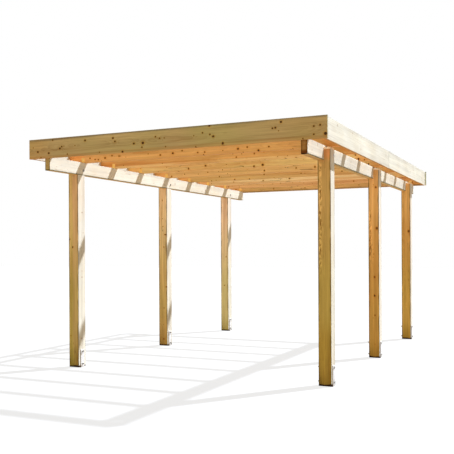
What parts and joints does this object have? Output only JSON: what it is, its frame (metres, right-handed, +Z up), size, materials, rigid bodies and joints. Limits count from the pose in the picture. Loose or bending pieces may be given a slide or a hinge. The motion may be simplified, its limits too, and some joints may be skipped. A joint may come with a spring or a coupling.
{
  "type": "carport",
  "caption": "Open timber carport: a flat roof frame of rafters and purlins inside wide fascia boards, on notched posts held in flat steel shoes.",
  "frame": {"origin": "on the ground, under the middle of the roof", "axes": "+Z up, +Y along the length towards the rear, +X to the right seen from the front"},
  "size_m": [3.2, 5.02, 2.422],
  "materials": {
    "fascia_timber": "planed softwood, pressure treated, olive brown",
    "purlin_timber": "planed softwood, pressure treated",
    "rafter_timber": "planed softwood, pressure treated, warm",
    "post_timber": "planed softwood, pressure treated",
    "galvanised_steel": "hot-dip galvanised, matt",
    "yellow_zinc_steel": "pressed sheet, yellow zinc plated"
  },
  "bodies": {
    "root": {"front_fascia": "fascia_timber", "rear_fascia": "fascia_timber", "left_fascia_front": "fascia_timber", "left_fascia_rear": "fascia_timber", "left_purlin": "purlin_timber", "left_rafter_brackets": "yellow_zinc_steel", "right_fascia_front": "fascia_timber", "right_fascia_rear": "fascia_timber", "right_purlin": "purlin_timber", "right_rafter_brackets": "yellow_zinc_steel", "rafter_1": "rafter_timber", "rafter_2": "rafter_timber", "rafter_3": "rafter_timber", "rafter_4": "rafter_timber", "rafter_5": "rafter_timber", "rafter_6": "rafter_timber", "rafter_7": "rafter_timber", "rafter_8": "rafter_timber", "rafter_9": "rafter_timber", "left_front_post": "post_timber", "left_front_shoe": "galvanised_steel", "left_middle_post": "post_timber", "left_middle_shoe": "galvanised_steel", "left_rear_post": "post_timber", "left_rear_shoe": "galvanised_steel", "right_front_post": "post_timber", "right_front_shoe": "galvanised_steel", "right_middle_post": "post_timber", "right_middle_shoe": "galvanised_steel", "right_rear_post": "post_timber", "right_rear_shoe": "galvanised_steel"}
  },
  "joints": []
}
